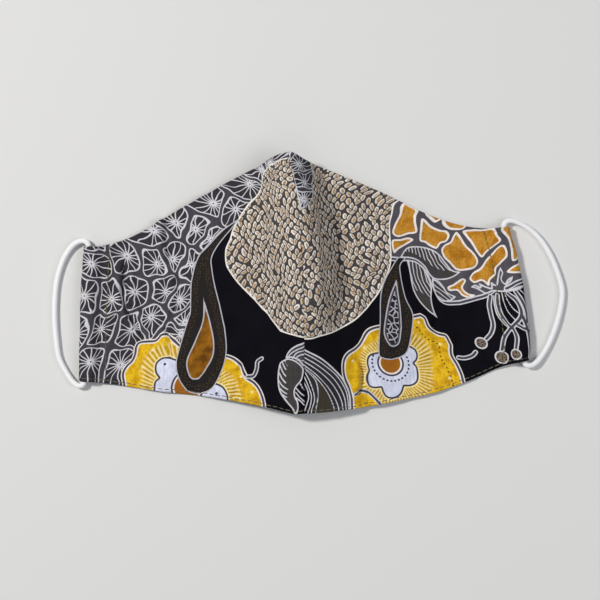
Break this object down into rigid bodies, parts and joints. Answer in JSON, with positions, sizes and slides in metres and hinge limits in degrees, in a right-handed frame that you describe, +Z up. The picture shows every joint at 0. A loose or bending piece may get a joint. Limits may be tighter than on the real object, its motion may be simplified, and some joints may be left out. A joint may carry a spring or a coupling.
{
  "type": "cloth face mask",
  "caption": "Contoured cloth face mask with a centre seam, stitched side casings and round elastic ear loops, lying with its front up.",
  "frame": {"origin": "on the table, under the middle of the box round the two cloth panels", "axes": "+X across the mask from side edge to side edge, +Y towards the nose edge, +Z up from the table through the front of the mask"},
  "size_m": [0.264, 0.134, 0.0377],
  "materials": {
    "printed_cotton": "matte woven cotton with a wax print",
    "elastic": "soft braided white elastic",
    "thread": "twisted sewing thread"
  },
  "bodies": {
    "root": {"left_panel": "printed_cotton", "right_panel": "printed_cotton", "left_ear_loop": "elastic", "right_ear_loop": "elastic"}
  },
  "joints": []
}
